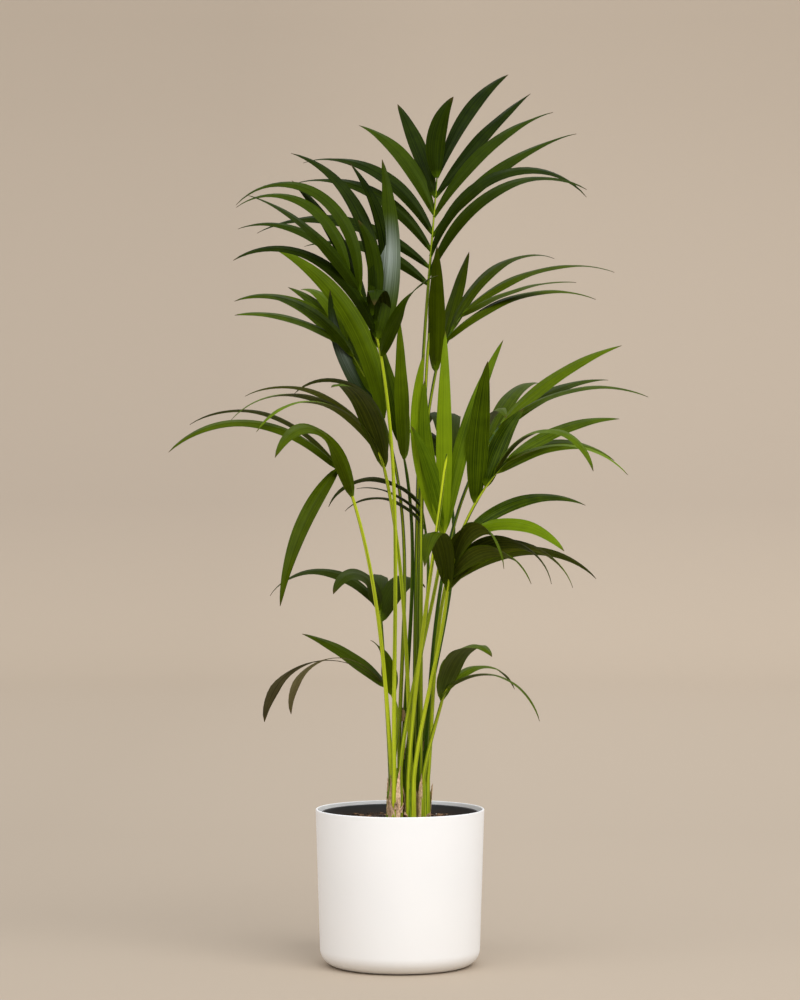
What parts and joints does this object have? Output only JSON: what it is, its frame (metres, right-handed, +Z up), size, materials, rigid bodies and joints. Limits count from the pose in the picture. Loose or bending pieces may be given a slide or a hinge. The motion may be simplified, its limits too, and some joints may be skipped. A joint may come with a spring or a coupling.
{
  "type": "potted kentia palm",
  "caption": "Kentia palm clump with arching feather fronds on tall slim green stalks, standing in a plain round white planter",
  "frame": {"origin": "centre of the planter's flat underside", "axes": "+Z up; +X to the right and +Y to the back, seen from the plant's front"},
  "size_m": [0.815, 0.6753, 1.5836],
  "materials": {
    "planter_white": "smooth matt white moulded plastic",
    "nursery_black": "dull dark grey moulded plastic",
    "potting_soil": "moist crumbly potting soil with bark bits",
    "dry_leaf_base": "fibrous, papery dry leaf bases over green",
    "green_stalk": "smooth waxy yellow-green skin",
    "palm_leaf": "leathery dark green with fine parallel veins and a soft sheen"
  },
  "bodies": {
    "root": {"planter": "planter_white", "nursery_pot": "nursery_black", "soil": "potting_soil", "stem_outer_left": "dry_leaf_base", "stem_front": "dry_leaf_base", "stem_rear": "dry_leaf_base", "stem_middle": "dry_leaf_base", "stem_outer_right": "dry_leaf_base", "stem_rear_right": "dry_leaf_base", "stalk_top": "green_stalk", "frond_top": "palm_leaf", "stalk_upper_left": "green_stalk", "frond_upper_left": "palm_leaf", "stalk_left": "green_stalk", "frond_left": "palm_leaf", "stalk_centre": "green_stalk", "frond_centre": "palm_leaf", "stalk_mid_left": "green_stalk", "frond_mid_left": "palm_leaf", "stalk_low_left": "green_stalk", "frond_low_left": "palm_leaf", "stalk_small_left": "green_stalk", "frond_small_left": "palm_leaf", "stalk_lowest_left": "green_stalk", "frond_lowest_left": "palm_leaf", "stalk_lowest_right": "green_stalk", "frond_lowest_right": "palm_leaf", "stalk_mid_right": "green_stalk", "frond_mid_right": "palm_leaf", "stalk_right": "green_stalk", "frond_right": "palm_leaf", "stalk_far_right": "green_stalk", "frond_far_right": "palm_leaf", "stalk_upper_right": "green_stalk", "frond_upper_right": "palm_leaf", "stalk_young": "green_stalk", "frond_young": "palm_leaf", "stalk_centre_left": "green_stalk", "frond_centre_left": "palm_leaf", "stalk_back": "green_stalk", "frond_back": "palm_leaf", "spear": "green_stalk", "spear_upper": "green_stalk"}
  },
  "joints": []
}
